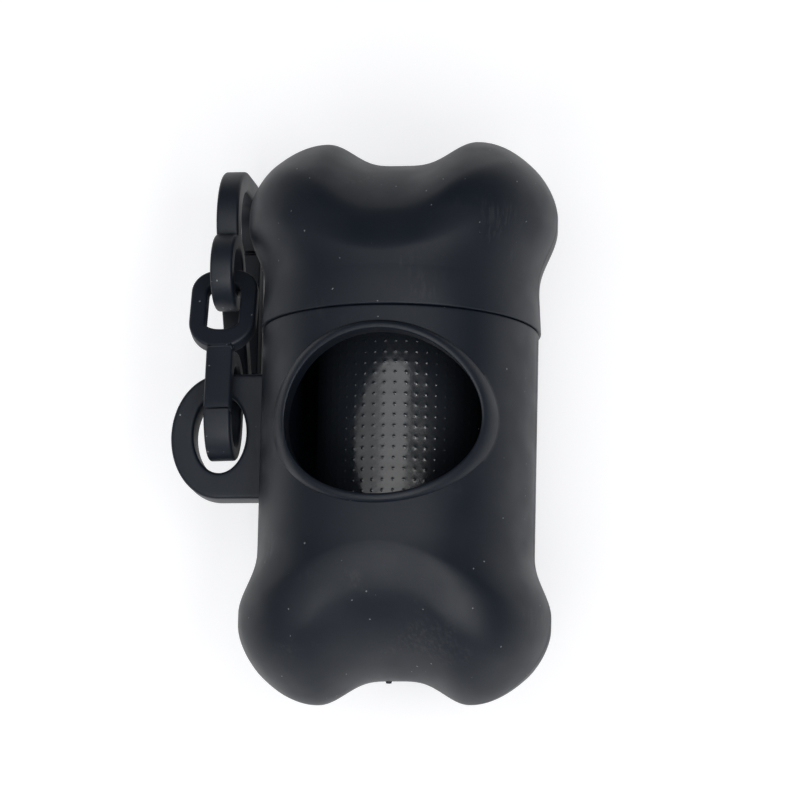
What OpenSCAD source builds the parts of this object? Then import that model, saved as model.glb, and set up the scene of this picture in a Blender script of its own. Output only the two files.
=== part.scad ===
// Bone-shaped dispenser for dog waste bags, lying on its back with its window facing up.
// A body shell and a push-on cap hold a roll of bags; a link on the side lug carries a clip.
// +Y runs along the bone to the cap end, +Z is up, and z = 0 is the surface it lies on.

/* [Case] */
// Length over both bone ends
case_l = 87; // [85:0.5:89]
// Width over the lobes of a bone end
case_w = 47.5; // [47:0.1:48.5]
// Diameter of the straight barrel
barrel_d = 42.1; // [41.5:0.1:42.6]
// Depth of the notch between the lobes of a bone end
notch_d = 3.65; // [3:0.05:4.2]
// Distance from the middle of the case to the seam
seam_y = 13.7; // [13.4:0.1:15]
// Diameter of the straight bore that takes the roll
bore_d = 37.2; // [36.8:0.1:37.4]

/* [Window] */
// Width of the window opening, across the case
window_w = 30; // [26:0.5:31]
// Height of the window opening, along the case
window_l = 25; // [20:0.5:25.5]
// Width of the raised rim at the window's sides, seen from above
rim_side = 2.1; // [1.5:0.1:2.3]
// Width of the raised rim at the window's ends
rim_end = 1.35; // [1:0.05:1.6]
// Height of the rim above the barrel
rim_h = 0.7; // [0.4:0.1:0.9]
// Middle of the window, along the case
window_y = -2.55; // [-3.5:0.05:-2]

/* [Roll of bags] */
// Diameter of the roll, partly used
roll_d = 26.4; // [18:0.2:30]
// Length of the roll
roll_l = 55; // [50:0.5:55.5]
// Outer diameter of the cardboard core
core_d = 12; // [10:0.5:14]
// Wall of the cardboard core
core_wall = 1; // [0.8:0.1:1.4]

/* [Lug, link and clip] */
// Middle of the lug, along the case
lug_y = -2.4; // [-3:0.1:-2]
// Thickness of the lug
lug_t = 4.6; // [4:0.1:4.7]
// Width of the link's bar and loop
link_w = 4.1; // [3.6:0.1:4.3]
// Thickness of the link's ring
ring_t = 2.4; // [2:0.1:2.5]
// Slope of the link's bar down towards its ring
link_tilt = 12; // [11:0.5:13]
// Thickness of the clip
clip_t = 3.45; // [3:0.05:3.6]
// Length of the clip
clip_l = 35.6; // [34:0.2:37]
// Height of the clip's wide end
clip_h = 23.8; // [23:0.1:24.5]
// Width of the clip's band
clip_band = 3.2; // [2.8:0.1:3.4]

/* [Hidden] */
$fn = 96;

shell_color = [0.16, 0.17, 0.19];
link_color = [0.14, 0.15, 0.17];
film_color = [0.10, 0.10, 0.11];
card_color = [0.62, 0.50, 0.36];

// Case
barrel_r = barrel_d / 2;
mouth_flare = 0.35;                     // the cap's mouth stands this far proud of the barrel
cap_flare_l = 6;
axis_h = barrel_r + mouth_flare;
half_l = case_l / 2;
seam_gap = 0.1;
bore_r = bore_d / 2;
bore_y = 22;                            // end of the straight bore, then a tapered seat for the roll
floor_y = 28.5;
floor_r = bore_r - 2;
pocket_r = 6;                           // cored pockets in the lobes
pocket_x = 10.4;
pocket_y = half_l - 8;
neck_l = 8;
neck_r = barrel_r - 1.3;
socket_r = neck_r + 0.15;
rib_w = 1;
rib_h = 0.11;
rib_count = 6;

// Bone end: the barrel widens sideways, and a rounded end face with a notch closes it
waist_y = 20.34;                        // the widening starts here
flare_l = 9.75;
flare_x = case_w / 2 - barrel_r;
flare_z = 0.25;
flare_ease = 1.25;
tip_x = 11.6;                           // the lobes reach furthest here
lobe_fall = 0.058;                      // how fast the end falls back from there, per millimetre
crown_h = barrel_r + 0.83;              // height that the end face rises to
crown_l = 15;
crown_fall = 1.7;                       // 2 would be a round end face, 1 a straight slope
edge_blend = 3.12;                      // rounding between the end face and the barrel
edge_l = 9;
joint_y = 20;                           // plane where the bone end meets the straight barrel
ray_y = 27;                             // the bone end is drawn by rays from this point of the axis
ray_near = 5;
ray_far = 34;
ray_steps = 15;
ray_rows = 24;
ray_cols = 60;
skin = 0.02;                            // the bone end starts this far inside the barrel's surface

// Roll, lying on the tapered seats
roll_gap = 0.2;
seat_r = floor_r + (bore_r - floor_r) * (floor_y - roll_l / 2) / (floor_y - bore_y);
roll_z = roll_d / 2 + roll_gap - seat_r;

// Lug
lug_x = -27.4;
lug_half = [7.6, 9.7];
lug_root_x = -(barrel_r - 1.3);
eye_half = [4.1, 6.1];
eye_y = lug_y + 0.45;                   // the eye lies a little nearer the cap than the lug's outline

// Link, drawn round the middle of the lug's upper rim and then tilted and skewed
link_x = -27.25;
link_skew = 1.2;
rim_y = (lug_y + lug_half.y + eye_y + eye_half.y) / 2 - 0.28;
loop_in = 3.4;                          // half height of the loop's hole, and its upper round's radius
loop_wall = 2.25;
loop_out = loop_in + loop_wall;
loop_end = -4.2;                        // centre of the loop's lower round
loop_reach = 7.5;                       // length of the loop's lower round
loop_slit = 0.3;
slit_at = -5.6;
bar_l = 4.8;                            // from the rim to the bend at the ring's shoulders
bar_mid = loop_out - ring_t / 2;
ring_bend = 8;                          // the ring slopes this much more than the bar
ring_w = 10.3;
ring_hole = [5.2, 8.1];
ring_bar = 2.6;                         // width of the ring's far bar
ring_foot = 2.95;                       // from the bend to the ring's hole
ring_shoulder = 5;                      // length of the rounded shoulders
ring_corner = 3.6;

// Clip, drawn round the middle of the link's far bar
clip_x = -27.2;
clip_reach = 18.3;                      // from the bar to the clip's wide end
clip_far_r = 8.5;                       // rounds of the wide end and of the narrow end
clip_near_r = 6;
clip_eye_in = 3.6;
clip_eye_out = 6;
clip_eye_at = [1, 1.2];                 // the eye hangs this far off the bar's middle
gate_t = 3;
gate_gap = 0.25;
gate_knuckle = 1.6;
gate_lip = 2.4;

// Where the link's far bar and the clip's parts come to lie, with the skew of the link
bend_y = rim_y + bar_l * cos(link_tilt) + bar_mid * sin(link_tilt);
bend_z = bar_mid * cos(link_tilt) - bar_l * sin(link_tilt);
far_l = ring_foot + ring_hole.y + ring_bar / 2;
hook_y = rim_y + (bend_y - rim_y + far_l * cos(link_tilt + ring_bend)) * cos(link_skew);
hook_z = bend_z - far_l * sin(link_tilt + ring_bend);
clip_floor = 0.05 - (axis_h + hook_z);  // the clip's straight side, just above the surface
far_c = [clip_reach - clip_far_r, clip_floor + clip_h - clip_far_r];
far_low_c = [far_c.x, clip_floor + clip_far_r];
near_c = [clip_reach - clip_l + clip_near_r, clip_floor + clip_near_r];
spine_turn = 90 + atan2(far_c.y - near_c.y, far_c.x - near_c.x)
    + asin((clip_far_r - clip_near_r) / norm(far_c - near_c));
gate_z = clip_floor + clip_band / 2;
gate_pivot_y = near_c.x + 1;
gate_tip_y = far_c.x - 1;

// ---- helpers ----

function ellipse(half, n) = [for (i = [0:n - 1]) [half.x * cos(360 * i / n), half.y * sin(360 * i / n)]];
function arc(c, r, a, b, n) = [for (i = [0:n]) let (t = a + (b - a) * i / n) [c.x + r * cos(t), c.y + r * sin(t)]];
function oval_arc(c, half, a, b, n) =
    [for (i = [0:n]) let (t = a + (b - a) * i / n) [c.x + half.x * cos(t), c.y + half.y * sin(t)]];

// A round bar or cone along the case's axis
module along_y(y0, y1, r0, r1) {
    translate([0, y0, 0])
        rotate([-90, 0, 0])
            cylinder(h = y1 - y0, r1 = r0, r2 = r1);
}

// A flat outline in the case's side plane (along Y, up Z), drawn out to a width in X
module side_plate(width) {
    rotate([90, 0, 90])
        translate([0, 0, -width / 2])
            linear_extrude(height = width)
                children();
}

// ---- bone end ----

function smooth_max(a, b, k) = let (h = max(k - abs(a - b), 0) / k) max(a, b) + h * h * k / 4;
function ease(t) = let (u = max(0, min(1, t))) u * u * (3 - 2 * u);
function side_gap(p) =
    let (t = pow(ease((p.y - waist_y) / flare_l), flare_ease))
    (norm([p.x / (barrel_r + flare_x * t), p.z / (barrel_r + flare_z * t)]) - 1) * barrel_r;
function end_reach(x) =
    let (u = (1 - cos(180 * min(x, tip_x) / tip_x)) / 2)
    half_l - notch_d * (1 - u * u) - lobe_fall * pow(max(x - tip_x, 0), 2);
function face_gap(p) =
    let (s = max((p.y - joint_y) / (end_reach(abs(p.x)) - joint_y), 0))
    (pow(pow(s, crown_fall) + pow(abs(p.z) / crown_h, crown_fall), 1 / crown_fall) - 1) * crown_l;
function bone_gap(p) = smooth_max(side_gap(p), face_gap(p), 0.02 + edge_blend * ease((p.y - joint_y) / edge_l));

// Distance from the ray's start to the surface, by halving the interval
function reach(dir, near, far, steps) =
    steps == 0 ? (near + far) / 2 :
    let (mid = (near + far) / 2)
    bone_gap([0, ray_y, 0] + mid * dir) < 0 ? reach(dir, mid, far, steps - 1) : reach(dir, near, mid, steps - 1);

function ring_point(row, col) =
    let (turn = 360 * col / ray_cols,
         first = atan2(barrel_r, joint_y - ray_y),
         polar = first * (1 - row / ray_rows),
         dir = [sin(polar) * cos(turn), cos(polar), sin(polar) * sin(turn)])
    row == 0 ? [(barrel_r - skin) * cos(turn), joint_y, (barrel_r - skin) * sin(turn)] :
    [0, ray_y, 0] + reach(dir, ray_near, ray_far, ray_steps) * dir;

bone_points = concat(
    [for (row = [0:ray_rows - 1], col = [0:ray_cols - 1]) ring_point(row, col)],
    [[0, ray_y + reach([0, 1, 0], ray_near, ray_far, ray_steps), 0], [0, joint_y, 0]]);
tip_index = ray_rows * ray_cols;
bone_faces = concat(
    [for (row = [0:ray_rows - 2], col = [0:ray_cols - 1])
        let (a = row * ray_cols + col, b = row * ray_cols + (col + 1) % ray_cols)
        each [[a, b + ray_cols, a + ray_cols], [a, b, b + ray_cols]]],
    [for (col = [0:ray_cols - 1])
        [(ray_rows - 1) * ray_cols + (col + 1) % ray_cols, tip_index, (ray_rows - 1) * ray_cols + col]],
    [for (col = [0:ray_cols - 1]) [col, tip_index + 1, (col + 1) % ray_cols]]);

module bone_end() {
    polyhedron(points = bone_points, faces = bone_faces, convexity = 6);
}

// Bore and the two cored pockets beyond its floor, for the half that points to +Y
module cavity(from_y) {
    along_y(from_y, bore_y, bore_r, bore_r);
    along_y(bore_y, floor_y, bore_r, floor_r);
    for (side = [-1, 1])
        translate([side * pocket_x, 0, 0])
            along_y(floor_y - 1, pocket_y, pocket_r, pocket_r);
}

// ---- case ----

module window_outline(side, end) {
    polygon(ellipse([window_w / 2 + side, window_l / 2 + end], 96));
}

module window_rim() {
    intersection() {
        translate([0, window_y, 0])
            linear_extrude(height = axis_h + 5)
                window_outline(rim_side, rim_end);
        along_y(window_y - window_l, window_y + window_l, barrel_r + rim_h, barrel_r + rim_h);
    }
}

module lug() {
    translate([0, lug_y, -lug_t / 2])
        linear_extrude(height = lug_t)
            polygon(concat(
                oval_arc([lug_x, 0], lug_half, 90, 270, 36),
                [[lug_root_x, -lug_half.y], [lug_root_x, lug_half.y]]));
}

module lug_eye() {
    translate([lug_x, eye_y, -lug_t])
        linear_extrude(height = 2 * lug_t)
            polygon(ellipse(eye_half, 64));
}

module case_body() {
    color(shell_color)
        translate([0, 0, axis_h])
            difference() {
                union() {
                    along_y(-joint_y - 1, seam_y, barrel_r, barrel_r);
                    along_y(seam_y - 1, seam_y + neck_l, neck_r, neck_r);
                    for (i = [0:rib_count - 1])
                        rotate([0, (i + 0.5) * 360 / rib_count, 0])
                            translate([-rib_w / 2, seam_y, neck_r - 0.5])
                                cube([rib_w, neck_l - 1.5, 0.5 + rib_h]);
                    rotate([0, 0, 180])
                        bone_end();
                    window_rim();
                    lug();
                }
                rotate([0, 0, 180])
                    cavity(-(seam_y + neck_l + 1));
                translate([0, window_y, 0])
                    linear_extrude(height = axis_h + 5)
                        window_outline(0, 0);
                lug_eye();
            }
}

module cap() {
    color(shell_color)
        translate([0, 0, axis_h])
            difference() {
                union() {
                    along_y(seam_y + seam_gap, seam_y + cap_flare_l, barrel_r + mouth_flare, barrel_r);
                    along_y(seam_y + 1, joint_y + 1, barrel_r, barrel_r);
                    bone_end();
                }
                along_y(seam_y - 1, seam_y + neck_l + 0.2, socket_r, socket_r);
                cavity(seam_y);
            }
}

// ---- roll of bags ----

module bag_roll() {
    color(film_color)
        translate([0, 0, axis_h + roll_z])
            difference() {
                along_y(-roll_l / 2, roll_l / 2, roll_d / 2, roll_d / 2);
                along_y(-roll_l, roll_l, core_d / 2, core_d / 2);
            }
}

module roll_core() {
    color(card_color)
        translate([0, 0, axis_h + roll_z])
            difference() {
                along_y(-roll_l / 2, roll_l / 2, core_d / 2 - 0.02, core_d / 2 - 0.02);
                along_y(-roll_l, roll_l, core_d / 2 - core_wall, core_d / 2 - core_wall);
            }
}

// ---- link ----

// Side view of the loop round the lug's rim and of the bar, with +Y towards the ring
module loop_outline() {
    difference() {
        union() {
            polygon(concat(
                arc([0, 0], loop_out, -90, 90, 24),
                oval_arc([loop_end, 0], [loop_reach, loop_out], 90, 270, 32)));
            translate([0, bar_mid - ring_t / 2])
                square([bar_l + 0.3, ring_t]);
        }
        polygon(concat(
            arc([0, 0], loop_in, -90, 90, 24),
            oval_arc([loop_end, 0], [loop_reach - loop_wall, loop_in], 90, 270, 32)));
        translate([slit_at - loop_slit / 2, loop_in - 0.9])
            square([loop_slit, loop_wall + 1]);
    }
}

// Flat ring with rounded shoulders, its bend on the X axis and its far bar towards +Y
module ring_outline() {
    half = ring_w / 2;
    top = far_l + ring_bar / 2;
    neck_turn = acos(link_w / ring_w);  // where the shoulders' round meets the bar
    foot_y = ring_shoulder * sin(neck_turn);
    hole_half = ring_hole.x / 2;
    hole_top = ring_foot + ring_hole.y;
    hole_round = 1.2;
    difference() {
        polygon(concat(
            [[-link_w / 2, -0.6], [link_w / 2, -0.6]],
            oval_arc([0, foot_y], [half, ring_shoulder], -neck_turn, 0, 12),
            arc([half - ring_corner, top - ring_corner], ring_corner, 0, 90, 12),
            arc([ring_corner - half, top - ring_corner], ring_corner, 90, 180, 12),
            oval_arc([0, foot_y], [half, ring_shoulder], 180, 180 + neck_turn, 12)));
        polygon(concat(
            oval_arc([0, ring_foot + hole_round], [hole_half, hole_round], 180, 360, 16),
            arc([hole_half - hole_round, hole_top - hole_round], hole_round, 0, 90, 6),
            arc([hole_round - hole_half, hole_top - hole_round], hole_round, 90, 180, 6)));
    }
}

module link() {
    color(link_color)
        translate([link_x, rim_y, axis_h])
            rotate([-link_tilt, 0, link_skew]) {
                side_plate(link_w)
                    loop_outline();
                translate([0, bar_l, bar_mid])
                    rotate([-ring_bend, 0, 0])
                        translate([0, 0, -ring_t / 2])
                            linear_extrude(height = ring_t)
                                ring_outline();
            }
}

// ---- clip ----

// Outline of the clip at a distance in from its edge: a wide end, a narrow end and a sloping spine
module clip_outline(inset) {
    polygon(concat(
        arc(far_low_c, clip_far_r - inset, -90, 0, 16),
        arc(far_c, clip_far_r - inset, 0, spine_turn, 20),
        arc(near_c, clip_near_r - inset, spine_turn, 270, 20)));
}

module clip_frame() {
    color(link_color)
        translate([clip_x, hook_y, axis_h + hook_z])
            side_plate(clip_t)
                difference() {
                    union() {
                        difference() {
                            clip_outline(0);
                            clip_outline(clip_band);
                        }
                        translate(clip_eye_at)
                            circle(r = clip_eye_out);
                    }
                    translate(clip_eye_at)
                        circle(r = clip_eye_in);
                    translate([gate_pivot_y, clip_floor - 1])
                        square([gate_tip_y - gate_pivot_y - gate_lip, clip_band + 2]);
                    translate([gate_tip_y - gate_lip - 1, gate_z])
                        square([gate_lip + 1, clip_band]);
                    translate([gate_pivot_y, gate_z])
                        circle(r = gate_knuckle + gate_gap);
                }
}

module clip_gate() {
    color(link_color)
        translate([clip_x, hook_y, axis_h + hook_z])
            side_plate(gate_t) {
                translate([gate_pivot_y, gate_z])
                    circle(r = gate_knuckle);
                polygon([
                    [gate_pivot_y, gate_z - gate_knuckle],
                    [gate_tip_y - gate_lip - gate_gap, gate_z - gate_knuckle],
                    [gate_tip_y - gate_lip - gate_gap, gate_z + gate_gap],
                    [gate_tip_y - gate_gap, gate_z + gate_gap],
                    [gate_tip_y - gate_gap - 0.5, gate_z + gate_knuckle],
                    [gate_pivot_y, gate_z + gate_knuckle]]);
            }
}

case_body();
cap();
bag_roll();
roll_core();
link();
clip_frame();
clip_gate();
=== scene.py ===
"""Looks of a bone-shaped dispenser for rolled dog waste bags, lying on a pale table.

The case is two moulded shells with a window over the roll of bags; a link on the side lug
carries a strap clip. Lengths are in metres. +Y runs along the bone towards the cap, +Z is up.
"""

import logging
import math
from dataclasses import dataclass, field
from typing import Callable, Iterable

import bmesh
import bpy
import numpy as np
from mathutils import Matrix, Vector
from mathutils.geometry import delaunay_2d_cdt


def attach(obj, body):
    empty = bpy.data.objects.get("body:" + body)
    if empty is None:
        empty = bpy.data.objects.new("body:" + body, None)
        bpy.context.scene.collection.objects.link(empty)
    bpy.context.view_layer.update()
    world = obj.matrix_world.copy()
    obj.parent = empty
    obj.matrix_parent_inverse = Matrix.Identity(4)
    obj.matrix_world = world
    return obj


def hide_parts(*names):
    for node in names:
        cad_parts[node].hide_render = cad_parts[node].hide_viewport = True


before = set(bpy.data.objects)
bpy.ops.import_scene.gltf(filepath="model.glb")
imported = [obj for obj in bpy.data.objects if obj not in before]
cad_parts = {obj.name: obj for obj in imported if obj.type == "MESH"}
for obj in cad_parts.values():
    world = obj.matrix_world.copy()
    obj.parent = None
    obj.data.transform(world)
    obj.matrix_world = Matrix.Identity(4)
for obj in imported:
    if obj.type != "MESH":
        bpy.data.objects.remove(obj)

LOG = logging.getLogger("dispenser")
MM = 0.001
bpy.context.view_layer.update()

Loop = np.ndarray  # closed outline or ring of points, one row each


# ---------------------------------------------------------------- mesh helpers


class Shell:
    """Gathers strips and caps of one closed piece and turns them into a mesh."""

    def __init__(self) -> None:
        """Starts an empty piece."""
        self.points: list[np.ndarray] = []
        self.faces: list[tuple[int, ...]] = []
        self.count = 0

    def add_points(self, points: np.ndarray) -> int:
        """Adds points and returns the index of the first.

        Args:
            points: One point in each row.

        Returns:
            Index of the first new point.
        """
        start = self.count
        self.points.append(np.asarray(points, float).reshape(-1, 3))
        self.count += len(self.points[-1])
        return start

    def strip(self, rows: np.ndarray, closed: bool = True) -> None:
        """Joins each row of points to the next by quads.

        Args:
            rows: Array of rows, columns and coordinates.
            closed: Whether the last column joins the first.
        """
        count, columns = rows.shape[:2]
        start = self.add_points(rows)
        last = columns if closed else columns - 1
        for row in range(count - 1):
            low = start + row * columns
            for column in range(last):
                after = (column + 1) % columns
                self.faces.append((low + column, low + after, low + columns + after, low + columns + column))

    def fan(self, ring: Loop, tip: Iterable[float]) -> None:
        """Closes a ring with triangles to a point.

        Args:
            ring: Points of the ring.
            tip: The point that the triangles meet in.
        """
        start = self.add_points(ring)
        top = self.add_points(np.array([list(tip)]))
        for column in range(len(ring)):
            self.faces.append((start + column, start + (column + 1) % len(ring), top))

    def fill(self, outlines: list[np.ndarray], lift: Callable[[np.ndarray], np.ndarray]) -> None:
        """Fills a flat outline with holes.

        Args:
            outlines: Outer outline first, then the holes, each as rows of two coordinates.
            lift: Turns rows of two coordinates into points.
        """
        flat, triangles = fill_flat(outlines)
        start = self.add_points(lift(flat))
        self.faces.extend(tuple(start + corner for corner in face) for face in triangles)

    def build(self, name: str, merge: float = 0.0008 * MM, crease: float = 40.0) -> bpy.types.Object:
        """Makes the object, with doubles merged and normals outwards.

        Args:
            name: Name of the object.
            merge: Points nearer than this become one.
            crease: Edges sharper than this, in degrees, are shaded hard.

        Returns:
            The new object.
        """
        mesh = bpy.data.meshes.new(name)
        mesh.from_pydata(np.concatenate(self.points).tolist(), [], self.faces)
        return finish_mesh(mesh, name, merge, crease)


def finish_mesh(mesh: bpy.types.Mesh, name: str, merge: float, crease: float) -> bpy.types.Object:
    """Merges doubles, turns faces outwards, sets smooth shading and links the object.

    Args:
        mesh: The mesh to finish.
        name: Name of the object.
        merge: Points nearer than this become one.
        crease: Edges sharper than this, in degrees, are shaded hard.

    Returns:
        The linked object.
    """
    work = bmesh.new()
    work.from_mesh(mesh)
    bmesh.ops.remove_doubles(work, verts=work.verts, dist=merge)
    bmesh.ops.dissolve_degenerate(work, edges=work.edges, dist=merge)
    bmesh.ops.recalc_face_normals(work, faces=work.faces)
    work.to_mesh(mesh)
    work.free()
    for polygon in mesh.polygons:
        polygon.use_smooth = True
    mesh.set_sharp_from_angle(angle=math.radians(crease))
    piece = bpy.data.objects.new(name, mesh)
    bpy.context.scene.collection.objects.link(piece)
    return piece


def fill_flat(outlines: list[np.ndarray]) -> tuple[np.ndarray, list[tuple[int, ...]]]:
    """Triangulates a flat outline with holes.

    Args:
        outlines: Outer outline first, then the holes, each as rows of two coordinates.

    Returns:
        The points, and the triangles as indices into them.
    """
    points = [Vector((float(u), float(v))) for outline in outlines for u, v in outline]
    edges: list[tuple[int, int]] = []
    start = 0
    for outline in outlines:
        edges.extend((start + i, start + (i + 1) % len(outline)) for i in range(len(outline)))
        start += len(outline)
    flat, _, faces, *_ = delaunay_2d_cdt(points, edges, [], 1, 1e-9)
    spots = np.array([[p.x, p.y] for p in flat])
    middles = np.array([spots[list(face)].mean(0) for face in faces])
    kept = covered(middles, outlines[0])
    for hole in outlines[1:]:
        kept &= ~covered(middles, hole)
    return spots, [tuple(face) for face, keep in zip(faces, kept) if keep]


def covered(spots: np.ndarray, outline: Loop) -> np.ndarray:
    """Says for each spot whether it lies inside a closed outline.

    Args:
        spots: Rows of two coordinates.
        outline: The outline.

    Returns:
        One truth value for each spot.
    """
    after = np.roll(outline, -1, 0)
    u, v = spots[:, :1], spots[:, 1:]
    crosses = (outline[:, 1] > v) != (after[:, 1] > v)
    rise = np.where(after[:, 1] == outline[:, 1], 1.0, after[:, 1] - outline[:, 1])
    meets = outline[:, 0] + (v - outline[:, 1]) * (after[:, 0] - outline[:, 0]) / rise
    return (crosses & (u < meets)).sum(1) % 2 == 1


def combine(piece: bpy.types.Object, other: bpy.types.Object, operation: str, crease: float = 40.0
            ) -> bpy.types.Object:
    """Joins or cuts two closed pieces and leaves one plain mesh.

    Args:
        piece: The piece that stays.
        other: The piece that is joined to it or cut from it, and is then removed.
        operation: UNION or DIFFERENCE.
        crease: Edges sharper than this, in degrees, are shaded hard.

    Returns:
        The new piece, under the first one's name.
    """
    name = piece.name
    modifier = piece.modifiers.new("combine", "BOOLEAN")
    modifier.operation = operation
    modifier.solver = "EXACT"
    modifier.object = other
    result = bpy.data.meshes.new_from_object(piece.evaluated_get(bpy.context.evaluated_depsgraph_get()))
    for old in (piece, other):
        bpy.data.objects.remove(old)
    joined = finish_mesh(result, name, 0.0005 * MM, crease)
    joined.name = name
    return joined


# ---------------------------------------------------------------- flat outlines


def arc(centre: tuple[float, float], half: tuple[float, float], start: float, end: float, count: int) -> Loop:
    """Points along an arc of an ellipse.

    Args:
        centre: Middle of the ellipse.
        half: Its half sizes.
        start: First angle in degrees.
        end: Last angle in degrees.
        count: Number of steps.

    Returns:
        Rows of two coordinates, both ends included.
    """
    turn = np.radians(np.linspace(start, end, count + 1))
    return np.column_stack([centre[0] + half[0] * np.cos(turn), centre[1] + half[1] * np.sin(turn)])


def circle(centre: tuple[float, float], radius: float, count: int = 72) -> Loop:
    """A closed circle as rows of two coordinates."""
    return arc(centre, (radius, radius), 0, 360, count)[:-1]


def oval(centre: tuple[float, float], half: tuple[float, float], count: int = 72) -> Loop:
    """A closed ellipse as rows of two coordinates."""
    return arc(centre, half, 0, 360, count)[:-1]


def block(low: tuple[float, float], high: tuple[float, float]) -> Loop:
    """A rectangle from its lowest to its highest corner."""
    return np.array([low, (high[0], low[1]), high, (low[0], high[1])])


def region(shapes: list[Loop], keep: Callable[[set[int]], bool]) -> list[Loop]:
    """Outlines of a flat region made from several overlapping shapes.

    Args:
        shapes: Closed outlines, each as rows of two coordinates.
        keep: Says, for the set of shapes that cover a spot, whether the spot belongs to the region.

    Returns:
        The outlines of the region, the longest first.
    """
    points = [Vector((float(u), float(v))) for shape in shapes for u, v in shape]
    polygons: list[list[int]] = []
    start = 0
    for shape in shapes:
        polygons.append(list(range(start, start + len(shape))))
        start += len(shape)
    flat, _, faces, _, _, owners = delaunay_2d_cdt(points, [], polygons, 1, 1e-9)
    sides: dict[tuple[int, int], int] = {}
    for face, owner in zip(faces, owners):
        if keep(set(owner)):
            for i, corner in enumerate(face):
                sides[(corner, face[(i + 1) % len(face)])] = 1
    border = {a: b for a, b in sides if (b, a) not in sides}
    loops: list[Loop] = []
    while border:
        first = next(iter(border))
        chain = [first]
        follow = border.pop(first)
        while follow != first:
            chain.append(follow)
            follow = border.pop(follow)
        loops.append(np.array([[flat[i].x, flat[i].y] for i in chain]))
    return sorted(loops, key=perimeter, reverse=True)


def perimeter(loop: Loop) -> float:
    """Length round a closed outline."""
    return float(np.linalg.norm(np.roll(loop, -1, 0) - loop, axis=1).sum())


def turned_area(loop: Loop) -> float:
    """Twice the area inside an outline, negative where it runs clockwise."""
    after = np.roll(loop, -1, 0)
    return float((loop[:, 0] * after[:, 1] - loop[:, 1] * after[:, 0]).sum())


def spaced(loop: Loop, step: float, corner: float = 30.0) -> Loop:
    """An outline with points at even steps, its corners kept.

    Args:
        loop: The outline.
        step: The wanted distance between points.
        corner: Turns sharper than this, in degrees, are kept as points.

    Returns:
        The new outline.
    """
    before = loop - np.roll(loop, 1, 0)
    after = np.roll(loop, -1, 0) - loop
    cross = before[:, 0] * after[:, 1] - before[:, 1] * after[:, 0]
    turn = np.degrees(np.abs(np.arctan2(cross, (before * after).sum(1))))
    kept = np.flatnonzero(turn > corner)
    if len(kept) == 0:
        kept = np.array([0])
    result: list[np.ndarray] = []
    for i, first in enumerate(kept):
        last = kept[(i + 1) % len(kept)]
        span = (last - first) % len(loop) or len(loop)
        path = loop[(first + np.arange(span + 1)) % len(loop)]
        along = np.concatenate([[0], np.cumsum(np.linalg.norm(np.diff(path, axis=0), axis=1))])
        count = max(1, round(along[-1] / step))
        places = np.linspace(0, along[-1], count + 1)[:-1]
        result.append(np.column_stack([np.interp(places, along, path[:, k]) for k in range(2)]))
    return np.concatenate(result)


def inset(loop: Loop, depth: float) -> Loop:
    """Moves an outline sideways into the material, which lies on its left."""
    before = loop - np.roll(loop, 1, 0)
    after = np.roll(loop, -1, 0) - loop
    before /= np.linalg.norm(before, axis=1, keepdims=True)
    after /= np.linalg.norm(after, axis=1, keepdims=True)
    normal = np.column_stack([-(before + after)[:, 1], (before + after)[:, 0]])
    normal /= np.linalg.norm(normal, axis=1, keepdims=True)
    square = np.column_stack([-after[:, 1], after[:, 0]])
    stretch = 1 / np.clip((normal * square).sum(1), 0.5, 1)
    return loop + normal * (depth * stretch)[:, None]


@dataclass
class Plate:
    """A flat piece of even thickness with rounded edges."""

    thickness: float
    edge: float
    step: float = 0.35 * MM
    bend_steps: int = 5
    shoulder: float = 1.7

    def add_to(self, shell: Shell, outlines: list[Loop], place: Callable[[np.ndarray], np.ndarray]) -> None:
        """Adds the plate to a piece.

        Args:
            shell: The piece that takes the plate.
            outlines: Outer outline first, then its holes.
            place: Turns rows of outline coordinates and height into points.
        """
        half = self.thickness / 2
        turns = np.linspace(0, math.pi / 2, self.bend_steps + 1)
        depths = [self.edge * self.shoulder, *(self.edge * (1 - np.sin(turns)))]
        heights = [half, *(half - self.edge * (1 - np.cos(turns)))]
        depths = depths + depths[::-1]
        heights = heights + [-h for h in heights[::-1]]
        tops: list[Loop] = []
        for number, outline in enumerate(outlines):
            loop = spaced(outline, self.step)
            wanted = 1 if number == 0 else -1
            if turned_area(loop) * wanted < 0:
                loop = loop[::-1]
            shell.strip(np.array([place(self.at_height(inset(loop, d), h)) for d, h in zip(depths, heights)]))
            tops.append(inset(loop, depths[0]))
        for height in (half, -half):
            shell.fill(tops, lambda flat, height=height: place(self.at_height(flat, height)))

    @staticmethod
    def at_height(flat: np.ndarray, height: float) -> np.ndarray:
        """Adds one height to rows of two coordinates."""
        return np.column_stack([flat, np.full(len(flat), height)])

    def build(self, name: str, outlines: list[Loop], place: Callable[[np.ndarray], np.ndarray]
              ) -> bpy.types.Object:
        """The plate as a piece of its own; see add_to for the arguments."""
        shell = Shell()
        self.add_to(shell, outlines, place)
        return shell.build(name)


# ---------------------------------------------------------------- the case


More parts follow.
